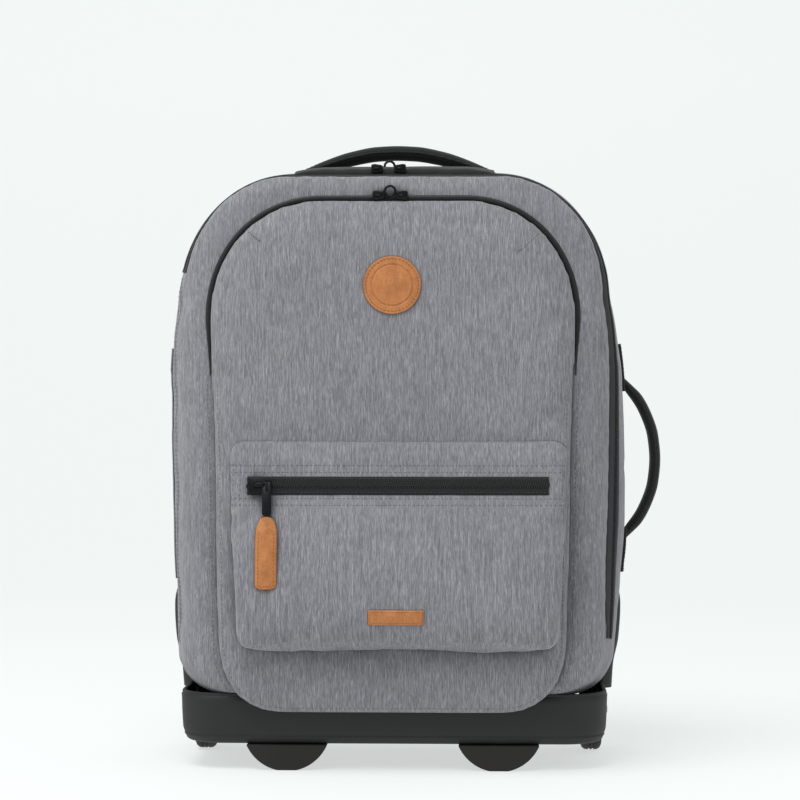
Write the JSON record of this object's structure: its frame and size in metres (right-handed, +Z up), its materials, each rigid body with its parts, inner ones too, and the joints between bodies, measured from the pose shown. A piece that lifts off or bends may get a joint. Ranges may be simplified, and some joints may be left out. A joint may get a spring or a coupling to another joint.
{
  "type": "wheeled backpack",
  "caption": "Soft grey wheeled backpack with leather trim, zipped front compartments, a moulded base with rear wheels and front feet, and a telescopic handle.",
  "frame": {"origin": "centre of the bounding box at floor level, on the underside of the wheels and the front feet", "axes": "+Z up, the front with the pockets faces -Y, +X on the right seen from the front"},
  "size_m": [0.406, 0.2296, 0.5109],
  "materials": {
    "grey_fabric": "matt melange weave",
    "black_fabric": "matt webbing and padded cloth",
    "black_mesh": "padded air mesh",
    "zip_tape": "coated zip tape",
    "tan_leather": "smooth, matt",
    "black_metal": "satin black",
    "black_plastic": "fine moulded grain",
    "black_rubber": "matt",
    "aluminium_tube": "satin",
    "steel": "satin"
  },
  "bodies": {
    "bag": {"body_shell": "grey_fabric", "main_zip": "zip_tape", "front_panel": "grey_fabric", "front_zip": "zip_tape", "front_pocket": "grey_fabric", "pocket_zip": "zip_tape", "round_patch": "tan_leather", "label_patch": "tan_leather", "pocket_slider": "black_metal", "pocket_puller": "black_metal", "pull_tag": "tan_leather", "front_slider_a": "black_metal", "front_slider_b": "black_metal", "front_ring": "black_metal", "main_slider_a": "black_metal", "main_slider_b": "black_metal", "main_ring": "black_metal", "side_pocket_left": "grey_fabric", "top_handle": "black_fabric", "side_handle": "black_fabric", "side_tab_upper": "black_fabric", "side_tab_lower": "black_fabric", "back_panel": "black_mesh", "shoulder_strap_left": "black_mesh", "shoulder_strap_right": "black_mesh", "webbing_left": "black_fabric", "webbing_right": "black_fabric", "base_tray": "black_plastic", "front_foot_left": "black_rubber", "front_foot_right": "black_rubber", "axle_left": "steel", "axle_right": "steel", "outer_tube_left": "aluminium_tube", "outer_tube_right": "aluminium_tube"},
    "wheel_left": {"tyre_left": "black_rubber", "hub_left": "black_plastic"},
    "wheel_right": {"tyre_right": "black_rubber", "hub_right": "black_plastic"},
    "handle_lower": {"mid_tube_left": "aluminium_tube", "mid_tube_right": "aluminium_tube", "mid_bridge": "black_plastic"},
    "handle_upper": {"inner_tube_left": "aluminium_tube", "inner_tube_right": "aluminium_tube", "grip": "black_plastic"}
  },
  "joints": [
    {"name": "wheel_left_spin", "type": "hinge", "parent": "bag", "child": "wheel_left", "pos_m": [-0.18, 0.06225, 0.034], "axis": [1, 0, 0], "continuous": true},
    {"name": "wheel_right_spin", "type": "hinge", "parent": "bag", "child": "wheel_right", "pos_m": [0.147, 0.06225, 0.034], "axis": [1, 0, 0], "continuous": true},
    {"name": "handle_lower_slide", "type": "slide", "parent": "bag", "child": "handle_lower", "axis": [0, 0, 1], "range_m": [0, 0.27]},
    {"name": "handle_upper_slide", "type": "slide", "parent": "handle_lower", "child": "handle_upper", "axis": [0, 0, 1], "range_m": [0, 0.27]}
  ]
}
